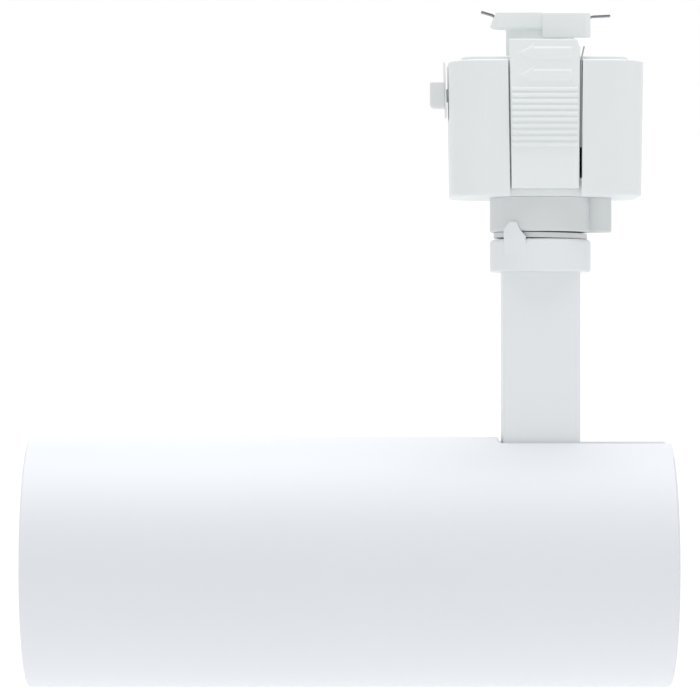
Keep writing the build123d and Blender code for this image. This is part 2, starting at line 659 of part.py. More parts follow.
def make_neck_ring():
    """Round neck with the half-round stop lug on +X, keyed into the body's floor."""
    height = (NECK_BOTTOM_Z, BODY_BOTTOM_Z - SEAT_GAP)
    neck = rod_z(NECK_R, height)
    neck = fillet(neck.edges().group_by(Axis.Z)[0], NECK_EDGE)
    lug = Pos(LUG_X, 0, 0) * rod_z(LUG_R, height)
    neck += fillet(lug.edges().group_by(Axis.Z)[0], NECK_EDGE)
    spigot_z = (BODY_BOTTOM_Z - WALL, BODY_BOTTOM_Z + WALL)
    half = SPIGOT_SIDE / 2
    neck += block_between((-half, half), (-half, half), spigot_z)
    return neck - rod_z(NIPPLE_R + RUN_FIT, (NECK_BOTTOM_Z - WALL, BODY_BOTTOM_Z + 2 * WALL))


def make_swivel_washer():
    """Loose washer between the neck and the collar."""
    ring = Cylinder(WASHER_R, WASHER_THICK) - Cylinder(NIPPLE_R + 4 * RUN_FIT, 2 * WASHER_THICK)
    ring = fillet(ring.edges().group_by(SortBy.LENGTH)[-1], WASHER_EDGE)
    return Pos(0, 0, WASHER_Z) * Rot(0, WASHER_LEAN, 0) * ring


def make_threaded_nipple():
    """Hollow threaded tube that joins collar and adapter and carries the wires."""
    tube = rod_z(NIPPLE_R, NIPPLE_Z)
    tube = chamfer(tube.edges().group_by(Axis.Z)[-1], THIN)
    return tube - rod_z(NIPPLE_BORE_R, (NIPPLE_Z[0] - WALL, NIPPLE_Z[1] + WALL))


def make_swivel_nut():
    """Nut that holds the swivel together inside the adapter."""
    return Pos(0, 0, NUT_Z[0]) * hex_nut(NUT_FLATS, NUT_Z[1] - NUT_Z[0], NIPPLE_R + RUN_FIT / 2)


def make_spring_washer():
    """Spring washer under the nut."""
    low = BODY_BOTTOM_Z + WALL + SEAT_GAP
    ring = rod_z(SPRING_WASHER_R, (low, NUT_Z[0] - SEAT_GAP))
    return ring - rod_z(NIPPLE_R + RUN_FIT, (low - WALL, NUT_Z[0] + WALL))


# ---- arm ----

def tooth():
    """Stop tooth on the collar's rim, steep on one side and slanted on the other.

    Below the rim it stands a little proud of the collar and runs out to nothing.
    """
    left, right = TOOTH_OUTLINE[0][0], TOOTH_OUTLINE[-1][0]
    outline = Polyline((left, TOOTH_ROOT_Z), *TOOTH_OUTLINE, (right, TOOTH_ROOT_Z), close=True)
    plane = Plane((0, 0, 0), x_dir=(0, 1, 0), z_dir=(1, 0, 0))
    blank = extrude(plane * make_face(outline), amount=2 * COLLAR_R)
    inner, outer = TOOTH_R
    rim = COLLAR_Z[1] - COLLAR_EDGE
    side = Polyline(
        (COLLAR_R - WALL, TOOTH_ROOT_Z), (COLLAR_R - WALL, rim), (inner, rim), (inner, 0),
        (outer, 0), (outer, COLLAR_Z[1]), (COLLAR_R - THIN, TOOTH_ROOT_Z), close=True,
    )
    ring = revolve(Plane.XZ * make_face(side), axis=Axis.Z)
    return Rot(0, 0, TOOTH_ANGLE) * (blank & ring)


def make_arm_collar():
    """Round collar with the stop tooth, the nipple's bore and a socket for the arm."""
    collar = rod_z(COLLAR_R, COLLAR_Z)
    collar = fillet(collar.edges().group_by(Axis.Z)[-1], COLLAR_EDGE)
    collar = fillet(collar.edges().group_by(Axis.Z)[0], COLLAR_EDGE / 2)
    collar += tooth()
    collar -= rod_z(NIPPLE_R + RUN_FIT / 2, (COLLAR_Z[0] - WALL, COLLAR_Z[1] + WALL))
    socket = RectangleRounded(ARM_X + 2 * SEAT_GAP, ARM_Y + 2 * SEAT_GAP, ARM_EDGE + SEAT_GAP)
    return collar - extrude(Pos(0, 0, COLLAR_Z[0] - WALL) * socket, amount=WALL + ARM_SOCKET)


def make_arm():
    """Rectangular hollow arm with a rounded lower end bored for the tilt pin."""
    top_z = COLLAR_Z[0] + ARM_SOCKET - SEAT_GAP
    bar = extrude(Pos(0, 0, AXIS_Z) * RectangleRounded(ARM_X, ARM_Y, ARM_EDGE), amount=top_z - AXIS_Z)
    end = rod_y(ARM_X / 2, (-ARM_Y / 2, ARM_Y / 2))
    bar += fillet(end.edges().filter_by(GeomType.CIRCLE), ARM_EDGE / 2)
    core = RectangleRounded(ARM_X - 2 * ARM_WALL, ARM_Y - 2 * ARM_WALL, ARM_EDGE)
    bar -= extrude(Pos(0, 0, ARM_BORE_FLOOR_Z) * core, amount=top_z - ARM_BORE_FLOOR_Z + WALL)
    bar -= Pos(-ARM_X / 2, 0, ARM_EXIT_Z) * Box(3 * ARM_WALL, ARM_EXIT_W, ARM_EXIT_H)
    return bar - rod_y(PIN_R + RUN_FIT, (-ARM_Y, ARM_Y))


def make_arm_wires():
    """Three wires from the adapter through the nipple and the arm to its lower exit."""
    wires = []
    for index in (-1, 0, 1):
        y = index * WIRE_PITCH
        top = (0, y, NIPPLE_Z[1] + WIRE_TAIL)
        corner = (0, y, ARM_EXIT_Z)
        end = (-ARM_X / 2 - WIRE_END, y, ARM_EXIT_Z)
        wires.append(wire([top, corner, end], WIRE_BEND_R))
    return Compound(wires)


# ---- lamp ----

def tilt_slot(width, rear_x):
    """Space the arm sweeps through, from upright to lying along +X."""
    half = width / 2
    upper = block_between((SLOT_FRONT_X, rear_x), (-half, half), (AXIS_Z, AXIS_Z + 2 * TUBE_R))
    lower = block_between((0, rear_x), (-half, half), (AXIS_Z - SLOT_BELOW, AXIS_Z + PAST))
    return upper, lower


def make_lamp_housing():
    """Plain round tube with the arm's slot open to the rear end."""
    tube = rod_x(TUBE_R, (TUBE_FRONT_X, TUBE_REAR_X))
    tube -= rod_x(tube_bore_r(), (TUBE_FRONT_X - PAST, TUBE_REAR_X + PAST))
    upper = tilt_slot(SLOT_WIDTH, TUBE_REAR_X + WALL)[0]
    tube -= fillet(upper.edges().filter_by(Axis.Z).group_by(Axis.X)[0], SLOT_CORNER_R)
    ends = tube.faces().filter_by(Axis.X).edges().filter_by(GeomType.CIRCLE)
    outer = ends.filter_by(lambda e: abs(e.radius - TUBE_R) < SEAT_GAP)
    return fillet(outer, TUBE_EDGE)


def make_rear_cap():
    """Rear disc with the lower part of the slot and two long posts towards the bulkhead."""
    rear = TUBE_REAR_X - CAP_RECESS
    cap = rod_x(tube_bore_r() - INNER_GAP, (rear - CAP_THICK, rear))
    cap = chamfer(cap.edges().group_by(Axis.X)[-1], THIN)
    post_x = (BULKHEAD_X[1] + SEAT_GAP, rear - CAP_THICK)
    for side in (-1, 1):
        cap += rod_x(CAP_POST_R, post_x, side * CAP_POST_Y, CAP_POST_DZ)
    upper, lower = tilt_slot(SLOT_WIDTH, TUBE_REAR_X + WALL)
    cap -= upper
    cap -= fillet(lower.edges().filter_by(Axis.X).group_by(Axis.Z)[0], SLOT_CORNER_R)
    for side in (-1, 1):
        spot = (side * CAP_POST_Y, CAP_POST_DZ)
        cap -= rod_x(SMALL_SCREW_R + SEAT_GAP, (BULKHEAD_X[0], rear + WALL), *spot)
        cap -= rod_x(SMALL_HEAD_R + SEAT_GAP, (rear - SMALL_HEAD_H, rear + WALL), *spot)
    return cap


def make_cap_screws():
    """Two long screws that pull the rear cap towards the bulkhead."""
    rear = TUBE_REAR_X - CAP_RECESS - SMALL_HEAD_H + SEAT_GAP
    length = rear - BULKHEAD_X[0]
    place = Rot(0, 90, 0) * pan_screw(length)
    return Compound([
        Pos(rear, side * CAP_POST_Y, AXIS_Z + CAP_POST_DZ) * place for side in (-1, 1)
    ])


def make_pivot_bracket():
    """Folded bracket: two cheeks either side of the arm and a plate against the bulkhead."""
    inner = ARM_Y / 2 + FRICTION_THICK + 2 * SEAT_GAP
    outer = inner + CHEEK_THICK
    z = (AXIS_Z - CHEEK_R, AXIS_Z + CHEEK_R)
    bracket = block_between((BRACKET_FRONT_X, BRACKET_FRONT_X + CHEEK_THICK), (-outer, outer), z)
    for side in (-1, 1):
        y = sorted((side * inner, side * outer))
        bracket += rod_y(CHEEK_R, y) + block_between((BRACKET_FRONT_X, 0), y, z)
    bracket -= rod_y(PIN_R + SEAT_GAP / 2, (-2 * outer, 2 * outer))
    plate_x = (BRACKET_FRONT_X - WALL, BRACKET_FRONT_X + 2 * WALL)
    bracket -= rod_x(CABLE_HOLE_R, plate_x, 0, CABLE_DZ)
    for side in (-1, 1):
        bracket -= rod_x(SMALL_SCREW_R + SEAT_GAP, plate_x, side * BRACKET_SCREW_Y, BRACKET_SCREW_DZ)
    return bracket


def make_bracket_screws():
    """Two screws from the bracket into the bulkhead."""
    face_x = BRACKET_FRONT_X + CHEEK_THICK + SEAT_GAP
    length = face_x - BULKHEAD_X[0]
    place = Rot(0, 90, 0) * pan_screw(length)
    return Compound([
        Pos(face_x, side * BRACKET_SCREW_Y, AXIS_Z + BRACKET_SCREW_DZ) * place for side in (-1, 1)
    ])


def make_bulkhead():
    """Disc fixed in the tube: carries the bracket at the rear and the driver in front."""
    disc = rod_x(tube_bore_r() - INNER_GAP / 2, BULKHEAD_X)
    through = (BULKHEAD_X[0] - WALL, BULKHEAD_X[1] + WALL)
    disc -= rod_x(CABLE_HOLE_R, through, 0, CABLE_DZ)
    for side in (-1, 1):
        disc -= rod_x(SMALL_SCREW_R + SEAT_GAP, through, side * BRACKET_SCREW_Y, BRACKET_SCREW_DZ)
        disc -= rod_x(SMALL_SCREW_R + SEAT_GAP, through, side * CAP_POST_Y, CAP_POST_DZ)
        disc -= rod_x(SMALL_SCREW_R + SEAT_GAP, through, side * CASE_SCREW_Y, 0)
    return disc


def make_pivot_pin():
    """Headed pin the lamp tilts on, held in the cheeks."""
    inner = ARM_Y / 2 + FRICTION_THICK + CHEEK_THICK + 3 * SEAT_GAP
    pin = rod_y(PIN_R, (-inner, inner + PIVOT_NUT_H + PAST))
    head = rod_y(PIN_HEAD_R, (-inner - PIN_HEAD_H, -inner))
    head = fillet(head.edges().group_by(Axis.Y)[0], PIN_HEAD_H / 3)
    return pin + head


def make_pivot_nut():
    """Nut on the tilt pin; it sets the friction of the tilt."""
    inner = ARM_Y / 2 + FRICTION_THICK + CHEEK_THICK + 3 * SEAT_GAP
    nut = hex_nut(PIVOT_NUT_FLATS, PIVOT_NUT_H, PIN_R + RUN_FIT / 2)
    return Pos(0, inner, AXIS_Z) * Rot(-90, 0, 0) * nut


def make_friction_washers():
    """Two thin washers between the arm and the cheeks."""
    washers = []
    inner = ARM_Y / 2 + SEAT_GAP
    for side in (-1, 1):
        y = sorted((side * inner, side * (inner + FRICTION_THICK)))
        washers.append(rod_y(FRICTION_R, y) - rod_y(PIN_R + SEAT_GAP / 2, (y[0] - PAST, y[1] + PAST)))
    return Compound(washers)


# ---- driver ----

def case_block(inset, low_dz, high_dz):
    """Rounded block of the driver case between two heights about the lamp axis."""
    outline = RectangleRounded(
        CASE_X[1] - CASE_X[0] - 2 * inset, 2 * (CASE_Y - inset), CASE_CORNER - inset
    )
    base = Pos(sum(CASE_X) / 2, 0, AXIS_Z + low_dz) * outline
    return extrude(base, amount=high_dz - low_dz)


def make_driver_tray():
    """Open insulating tray that holds the driver board, screwed to the bulkhead."""
    tray = case_block(0, -CASE_DZ, CASE_SPLIT_DZ - SEAT_GAP)
    tray -= case_block(CASE_WALL, CASE_WALL - CASE_DZ, CASE_DZ)
    foot = rod_z(FOOT_R, (AXIS_Z - CASE_DZ + CASE_WALL / 2, AXIS_Z + BOARD_DZ - SEAT_GAP))
    for x in (BOARD_X[0] + FOOT_INSET, BOARD_X[1] - FOOT_INSET):
        for side in (-1, 1):
            tray += Pos(x, side * (BOARD_Y - FOOT_INSET), 0) * foot
    rear = (CASE_X[1] - 2 * WALL, CASE_X[1] + WALL)
    for side in (-1, 1):
        tray -= rod_x(SMALL_SCREW_R + SEAT_GAP, rear, side * CASE_SCREW_Y, 0)
    return tray


def make_driver_cover():
    """Cover of the driver case with openings for the wires at both ends."""
    cover = case_block(0, CASE_SPLIT_DZ, CASE_DZ)
    cover -= case_block(CASE_WALL, CASE_SPLIT_DZ - PAST, CASE_DZ - CASE_WALL)
    rear = (CASE_X[1] - 2 * WALL, CASE_X[1] + WALL)
    front = (CASE_X[0] - WALL, CASE_X[0] + 2 * WALL)
    cover -= rod_x(CABLE_HOLE_R - THIN, rear, 0, CABLE_DZ)
    return cover - rod_x(LED_HOLE_R, front, 0, CABLE_DZ)


def make_driver_board():
    """Circuit board."""
    return block_between(
        BOARD_X, (-BOARD_Y, BOARD_Y), (AXIS_Z + BOARD_DZ, AXIS_Z + BOARD_DZ + BOARD_THICK)
    )


def board_top():
    """Height of the board's upper face, with the parts' standoff."""
    return AXIS_Z + BOARD_DZ + BOARD_THICK + SEAT_GAP


def make_driver_transformer():
    """Transformer: core with a wound bobbin in the middle."""
    low = board_top()
    high = low + CORE_HEIGHT
    window_x = (CORE_X[0] + CORE_LEG, CORE_X[1] - CORE_LEG)
    window_y = (CORE_Y[0] - PAST, CORE_Y[1] + PAST)
    core = block_between(CORE_X, CORE_Y, (low, high))
    core -= block_between(window_x, window_y, (low + CORE_LEG, high - CORE_LEG))
    winding = block_between(
        (window_x[0] + WINDING_GAP, window_x[1] - WINDING_GAP),
        (CORE_Y[0] + WINDING_GAP, CORE_Y[1] - WINDING_GAP),
        (low + WINDING_GAP, high - WINDING_GAP),
    )
    return core + fillet(winding.edges().filter_by(Axis.Y), WINDING_EDGE)


def make_driver_capacitors():
    """Three round capacitors."""
    cans = []
    for x, y, radius, height in CANS:
        can = Pos(x, y, board_top() + height / 2) * Cylinder(radius, height)
        cans.append(fillet(can.edges().group_by(Axis.Z)[-1], THIN))
    return Compound(cans)


def make_driver_choke():
    """Ring choke lying on the board."""
    return Pos(*CHOKE_SPOT, board_top() + CHOKE_R[1]) * Torus(*CHOKE_R)


def make_driver_screws():
    """Two screws from the tray into the bulkhead."""
    face_x = CASE_X[1] - CASE_WALL - SEAT_GAP
    length = BULKHEAD_X[1] - WALL / 2 - face_x
    place = Rot(0, -90, 0) * pan_screw(length)
    return Compound([Pos(face_x, side * CASE_SCREW_Y, AXIS_Z) * place for side in (-1, 1)])


def make_mains_leads():
    """Three wires from the bulkhead's hole into the driver case."""
    return Compound([
        rod_x(LEAD_R, LEADS_X, index * WIRE_PITCH, CABLE_DZ) for index in (-1, 0, 1)
    ])


# ---- light engine ----

def make_heat_sink():
    """Cast heat sink: round base with radial fins behind it."""
    base_x = (SINK_X[0], SINK_X[0] + SINK_BASE)
    sink = rod_x(tube_bore_r() - INNER_GAP, base_x)
    sink += rod_x(SINK_CORE_R, SINK_X)
    fin_x = (SINK_X[0] + SINK_BASE / 2, SINK_X[1])
    for index in range(SINK_FINS):
        angle = 360.0 * (index + 0.5) / SINK_FINS
        fin = block_between(
            fin_x, (SINK_CORE_R / 2, SINK_FIN_R), (-SINK_FIN_THICK / 2, SINK_FIN_THICK / 2)
        )
        sink += Pos(0, 0, AXIS_Z) * Rot(angle, 0, 0) * fin
    sink -= rod_x(LED_HOLE_R, (SINK_X[0] - PAST, SINK_X[0] + SINK_BASE + PAST), 0, LED_HOLE_DZ)
    thread_x = (SINK_X[0] - PAST, SINK_X[0] + HOLDER_SCREW_GRIP + THIN)
    for side in (-1, 1):
        sink -= rod_x(SMALL_SCREW_R + SEAT_GAP, thread_x, side * HOLDER_SCREW_R)
    return sink


def make_led_board():
    """Square ceramic board of the light source."""
    half = COB_SIDE / 2
    front = SINK_X[0] - SEAT_GAP - COB_THICK
    return block_between(
        (front, SINK_X[0] - SEAT_GAP), (-half, half), (AXIS_Z - half, AXIS_Z + half)
    )


def make_led_emitter():
    """Round light-emitting face."""
    back = SINK_X[0] - 2 * SEAT_GAP - COB_THICK
    face = rod_x(EMITTER_R, (back - EMITTER_THICK, back))
    return fillet(face.edges().group_by(Axis.X)[0], EMITTER_THICK / 2)


def make_led_holder():
    """Moulded ring that presses the light source to the heat sink."""
    back = SINK_X[0] - SEAT_GAP
    ring = rod_x(HOLDER_R, (back - HOLDER_THICK, back))
    ring = fillet(ring.edges().group_by(Axis.X)[0], EDGE)
    ring -= rod_x(HOLDER_BORE_R, (back - 2 * HOLDER_THICK, back + PAST))
    half = COB_SIDE / 2 + SEAT_GAP
    depth = COB_THICK + SEAT_GAP
    ring -= block_between((back - depth, back + PAST), (-half, half), (AXIS_Z - half, AXIS_Z + half))
    for side in (-1, 1):
        y = side * HOLDER_SCREW_R
        ring -= rod_x(SMALL_SCREW_R + SEAT_GAP, (back - 2 * HOLDER_THICK, back + PAST), y)
        ring -= rod_x(SMALL_HEAD_R + SEAT_GAP, (back - 2 * HOLDER_THICK, back - WALL), y)
    return ring


def make_holder_screws():
    """Two screws that fix the holder."""
    face_x = SINK_X[0] - SEAT_GAP - WALL - SEAT_GAP
    place = Rot(0, -90, 0) * pan_screw(SINK_X[0] + HOLDER_SCREW_GRIP - face_x)
    return Compound([Pos(face_x, side * HOLDER_SCREW_R, AXIS_Z) * place for side in (-1, 1)])


def make_led_leads():
    """Two wires from the driver through the heat sink to the light source."""
    wires = []
    start_x = CASE_X[0] + CASE_WALL + LED_LEAD_TAIL
    gap_x = (CASE_X[0] + SINK_X[1]) / 2
    front_x = SINK_X[0] - LED_LEAD_STAND
    hole_z = AXIS_Z + LED_HOLE_DZ
    for side in (-1, 1):
        y = side * LED_LEAD_Y
        points = [
            (start_x, y, ARM_EXIT_Z), (gap_x, y, ARM_EXIT_Z), (gap_x, y, hole_z),
            (front_x, y, hole_z), (front_x, y, AXIS_Z + HOLDER_R + LED_LEAD_GAP),
        ]
        wires.append(wire(points, LED_LEAD_BEND_R))
    return Compound(wires)


def make_reflector():
    """Bowl-shaped reflector with a flat rim at the front."""
    inner = Spline(
        (REFLECTOR_BACK_X, REFLECTOR_BACK_R), (REFLECTOR_FRONT_X, REFLECTOR_FRONT_R),
        tangents=[BOWL_START, BOWL_END],
    )
    start, end = inner @ 0, inner @ 1
    rim_x = end.X - REFLECTOR_THICK
    outer = Spline(
        (end.X, end.Y + REFLECTOR_THICK), (start.X + REFLECTOR_THICK, start.Y),
        tangents=[(-BOWL_END[0], -BOWL_END[1]), (-BOWL_START[0], -BOWL_START[1])],
    )
    rim = Polyline(
        end, (rim_x, end.Y), (rim_x, REFLECTOR_RIM_R), (end.X, REFLECTOR_RIM_R),
        (end.X, end.Y + REFLECTOR_THICK),
    )
    back = Line((start.X + REFLECTOR_THICK, start.Y), start)
    profile = make_face([inner, rim, outer, back])
    bowl = revolve(Plane.XZ * profile, axis=Axis.X)
    return Pos(0, 0, AXIS_Z) * bowl


def make_front_glass():
    """Clear glass disc in front of the reflector."""
    back = REFLECTOR_FRONT_X - REFLECTOR_THICK - SEAT_GAP
    disc = rod_x(GLASS_R, (back - GLASS_THICK, back))
    return chamfer(disc.edges(), GLASS_EDGE)


def make_front_bezel():
    """Ring in the tube's mouth that keeps the glass in."""
    back = REFLECTOR_FRONT_X - REFLECTOR_THICK - GLASS_THICK - 2 * SEAT_GAP
    ring = rod_x(tube_bore_r() - INNER_GAP, (BEZEL_FRONT_X, back))
    ring -= rod_x(BEZEL_BORE_R, (BEZEL_FRONT_X - PAST, back + PAST))
    return chamfer(ring.edges().group_by(Axis.X)[0].sort_by(SortBy.RADIUS)[0], BEZEL_EDGE)


NODES = {
    "adapter_body": make_adapter_body,
    "adapter_lid": make_adapter_lid,
    "lid_screws": make_lid_screws,
    "track_head": make_track_head,
    "live_contact": make_live_contact,
    "neutral_contact": make_neutral_contact,
    "earth_contact": make_earth_contact,
    "terminal_block": make_terminal_block,
    "terminal_screws": make_terminal_screws,
    "latch": make_latch,
    "latch_spring": make_latch_spring,
    "side_button": make_side_button,
    "button_leaf": make_button_leaf,
    "neck_ring": make_neck_ring,
    "swivel_washer": make_swivel_washer,
    "threaded_nipple": make_threaded_nipple,
    "swivel_nut": make_swivel_nut,
    "spring_washer": make_spring_washer,
    "arm_collar": make_arm_collar,
    "arm": make_arm,
    "arm_wires": make_arm_wires,
    "lamp_housing": make_lamp_housing,
    "rear_cap": make_rear_cap,
    "cap_screws": make_cap_screws,
    "pivot_bracket": make_pivot_bracket,
    "bracket_screws": make_bracket_screws,
    "bulkhead": make_bulkhead,
    "pivot_pin": make_pivot_pin,
    "pivot_nut": make_pivot_nut,
    "friction_washers": make_friction_washers,
    "driver_tray": make_driver_tray,
    "driver_cover": make_driver_cover,
    "driver_board": make_driver_board,
    "driver_transformer": make_driver_transformer,
    "driver_capacitors": make_driver_capacitors,
    "driver_choke": make_driver_choke,
    "driver_screws": make_driver_screws,
    "mains_leads": make_mains_leads,
    "heat_sink": make_heat_sink,
    "led_board": make_led_board,
    "led_emitter": make_led_emitter,
    "led_holder": make_led_holder,
    "holder_screws": make_holder_screws,
    "led_leads": make_led_leads,
    "reflector": make_reflector,
    "front_glass": make_front_glass,
    "front_bezel": make_front_bezel,
}

os.makedirs("parts", exist_ok=True)
for node, make in NODES.items():
    export_step(make(), f"parts/{node}.step")
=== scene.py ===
import math

import bmesh
import bpy
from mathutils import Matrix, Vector


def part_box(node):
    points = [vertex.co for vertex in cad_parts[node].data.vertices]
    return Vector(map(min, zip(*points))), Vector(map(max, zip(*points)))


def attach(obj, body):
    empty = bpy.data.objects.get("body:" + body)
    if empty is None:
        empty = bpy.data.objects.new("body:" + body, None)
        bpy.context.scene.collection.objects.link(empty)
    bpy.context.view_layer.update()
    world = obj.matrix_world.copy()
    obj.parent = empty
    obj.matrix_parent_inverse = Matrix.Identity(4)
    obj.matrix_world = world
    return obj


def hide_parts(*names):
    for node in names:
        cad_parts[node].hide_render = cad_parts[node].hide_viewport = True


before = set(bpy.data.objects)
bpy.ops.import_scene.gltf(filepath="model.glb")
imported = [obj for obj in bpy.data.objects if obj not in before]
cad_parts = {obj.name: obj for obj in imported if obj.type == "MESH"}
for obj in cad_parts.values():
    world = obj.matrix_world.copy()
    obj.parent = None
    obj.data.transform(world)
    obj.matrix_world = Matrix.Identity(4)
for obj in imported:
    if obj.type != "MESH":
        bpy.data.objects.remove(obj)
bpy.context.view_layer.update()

bl_info = {
    "name": "Track spotlight",
    "version": (1, 0, 0),
    "blender": (4, 5, 0),
    "location": "3D View > Sidebar > Spotlight",
    "description": "Finishes and fine parts of a track spotlight",
    "category": "Object",
}

MM = 0.001

# Driver chips, mm: centre X and Y, half length and half width.
CHIPS = ((-27.5, 6.0, 2.4, 2.0), (-27.5, 13.5, 2.0, 2.6), (-38.0, 15.6, 3.0, 1.6))
CHIP_HEIGHT = (0.2, 1.7)
CHIP_EDGE = 0.15
CHIP_LEGS = 4
LEG_REACH = 0.35              # from the chip's side to the middle of a leg
LEG_HALF = (0.2, 0.4)
LEG_HEIGHT = (0.02, 0.8)
LEG_EDGE = 0.05

# Reflector bowl, mm.
BOWL_BACK_R = 8.6
BOWL_FRONT_R = 25.8
BOWL_BACK_GAP = 0.4
BOWL_FRONT_GAP = 0.8
BOWL_BOW = 0.16               # how far the bowl's side bulges, as a share of its depth

# Swivel tube and choke.
BORE_SHARE = 0.735            # bore radius as a share of the outer radius
THREAD_COLUMNS = 48
THREAD_ROWS = 8               # rows in each turn of the thread
WINDING_STEPS = 14            # points in each turn of wire
DAM_CORNERS = 12
DAM_COLUMNS = 64
DAM_HEIGHT = 0.9              # dam height as a share of the source's half thickness
DAM_FULLNESS = 0.95

# Stage, metres.
SWEEP_RADIUS = 0.4
SWEEP_HALF = 3.0
SWEEP_STEPS = 16
LIGHT_SIZE = 1.6
TOP_LIGHT = (0.1, -0.2, 1.4)
BACK_LIGHT = (0.0, 0.5, 1.4)
SENSOR_WIDTH = 36             # mm
CAMERA_PLACE = (-0.0473, -0.837, -0.0721)


def linear(code):
    """Linear RGB of an sRGB hex colour."""
    channels = [int(code[i:i + 2], 16) / 255 for i in (0, 2, 4)]
    return tuple(c / 12.92 if c <= 0.04045 else ((c + 0.055) / 1.055) ** 2.4 for c in channels)


# ---- what a user would change ----

def colour_value(name, description, code):
    """A colour property with its default given as sRGB hex."""
    return bpy.props.FloatVectorProperty(
        name=name, description=description, default=linear(code), subtype="COLOR", min=0, max=1
    )


def length_value(name, description, millimetres):
    """A length property with its default given in millimetres."""
    return bpy.props.FloatProperty(
        name=name, description=description, default=millimetres * MM, min=0, unit="LENGTH",
        subtype="DISTANCE", precision=5,
    )


class SpotlightColours(bpy.types.PropertyGroup):
    """Colours of the main finishes."""

    lamp_coat: colour_value("Lamp coat", "Powder coat of the lamp tube and its ends", "EAEDF2")
    arm_coat: colour_value("Arm coat", "Powder coat of the arm and its collar", "EFF3F5")
    adapter_shell: colour_value("Adapter", "Moulded adapter body and lid", "EFF3F4")
    # Neck and swivel washer are darker than the shell: partly their greyer plastic, partly painted shade from
    # the adapter body above them.
    neck_grey_and_shade: colour_value("Neck", "Moulded neck and swivel washer", "DEE2E3")
    latch_shell: colour_value("Latch", "Moulded latch", "F2F6F7")
    head_shell: colour_value("Track head", "Moulded stem and wings", "F1F5F5")
    contact_plating: colour_value("Contacts", "Dull plating on the live and neutral strips", "8C9093")
    earth_plating: colour_value("Earth strip", "Brighter plating on the earth strip", "C4C8CB")
    leaf_coat: colour_value("Button leaf", "Paint on the leaf behind the button", "F4F6F6")
    button_shell: colour_value("Side button", "Moulded side button", "E6E9E9")


class SpotlightSizes(bpy.types.PropertyGroup):
    """Sizes of the fine parts."""

    peen_columns: bpy.props.IntProperty(
        name="Reflector facets", description="Facets round the reflector", default=40, min=12, max=96
    )
    peen_rows: bpy.props.IntProperty(
        name="Facet rows", description="Rows of facets from source to rim", default=9, min=3, max=24
    )
    reflector_wall: length_value("Reflector wall", "Thickness of the spun reflector", 0.7)
    thread_pitch: length_value("Thread pitch", "Pitch of the hollow swivel tube's thread", 1.0)
    thread_depth: length_value("Thread depth", "Depth of that thread", 0.45)
    dam_width: length_value("Dam width", "Silicone ring round the light source", 0.9)
    choke_wire: length_value("Choke wire", "Diameter of the choke's enamelled wire", 0.5)
    choke_turns: bpy.props.IntProperty(
        name="Choke turns", description="Turns of wire round the choke", default=26, min=6, max=60
    )


class SpotlightStage(bpy.types.PropertyGroup):
    """Floor, light and camera."""

    floor_drop: length_value("Floor drop", "Height of the adapter's land above the floor", 290)
    sweep_back: length_value("Backdrop", "Distance from the object to the backdrop", 1300)
    top_power: bpy.props.FloatProperty(
        name="Top light", description="Power of the large light overhead", default=11.0, unit="POWER"
    )
    back_power: bpy.props.FloatProperty(
        name="Backdrop light", description="Power of the light on the backdrop", default=5.0, unit="POWER"
    )
    room_light: bpy.props.FloatProperty(
        name="Room light", description="Brightness of the even light all round", default=0.67
    )
    floor_glow: bpy.props.FloatProperty(
        name="Floor glow", description="Light the white floor and backdrop give off", default=0.02
    )
    lens: bpy.props.FloatProperty(
        name="Lens", description="Focal length on a 36 mm sensor", default=173.1, unit="CAMERA"
    )


# ---- nodes and meshes ----

def add_node(tree, kind, settings=None, links=None):
    """Adds a node, sets its inputs and properties and links other nodes' outputs to it."""
    made = tree.nodes.new(kind)
    for key, value in (settings or {}).items():
        if isinstance(key, int) or key in made.inputs:
            made.inputs[key].default_value = value
        else:
            setattr(made, key, value)
    for key, source in (links or {}).items():
        tree.links.new(source, made.inputs[key])
    return made


def opaque(colour):
    """RGBA of a linear RGB colour."""
    return (*colour, 1.0)


def shaded(colour, factor):
    """A linear RGB colour made darker or lighter."""
    return tuple(min(c * factor, 1.0) for c in colour)


def blank_material(name):
    """A material with a Principled shader, its tree and the object's own coordinates in metres."""
    material = bpy.data.materials.new(name)
    material.use_nodes = True
    tree = material.node_tree
    tree.nodes.clear()
    shader = add_node(tree, "ShaderNodeBsdfPrincipled")
    add_node(tree, "ShaderNodeOutputMaterial", links={"Surface": shader.outputs["BSDF"]})
    place = add_node(tree, "ShaderNodeTexCoord").outputs["Object"]
    return material, tree, shader, place


def grained(name, colour, roughness, mottle, grain, stretch=(1, 1, 1), **inputs):
    """A surface with a broad mottle and a fine grain.

    mottle is (size in mm, darkening), grain is (size in mm, depth in mm, change of roughness).
    """
    material, tree, shader, place = blank_material(name)
    for key, value in inputs.items():
        shader.inputs[key.replace("_", " ")].default_value = value
    place = add_node(tree, "ShaderNodeMapping", {"Scale": stretch}, {"Vector": place}).outputs[0]
    broad = add_node(
        tree, "ShaderNodeTexNoise", {"Scale": 1 / (mottle[0] * MM), "Detail": 3.0}, {"Vector": place}
    )
    mixed = add_node(
        tree, "ShaderNodeMix",
        {"data_type": "RGBA", 6: opaque(shaded(colour, 1 - mottle[1])), 7: opaque(colour)},
        {0: broad.outputs["Fac"]},
    )
    fine = add_node(
        tree, "ShaderNodeTexNoise", {"Scale": 1 / (grain[0] * MM), "Detail": 2.0}, {"Vector": place}
    )
    rough = add_node(
        tree, "ShaderNodeMapRange",
        {"To Min": roughness - grain[2], "To Max": roughness + grain[2]}, {"Value": fine.outputs["Fac"]},
    )
    bump = add_node(
        tree, "ShaderNodeBump", {"Distance": grain[1] * MM, "Strength": 1.0},
        {"Height": fine.outputs["Fac"]},
    )
    tree.links.new(mixed.outputs[2], shader.inputs["Base Color"])
    tree.links.new(rough.outputs[0], shader.inputs["Roughness"])
    tree.links.new(bump.outputs[0], shader.inputs["Normal"])
    return material


def dress(material, *names):
    """Gives CAD nodes a material."""
    for name in names:
        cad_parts[name].material_slots[0].material = material


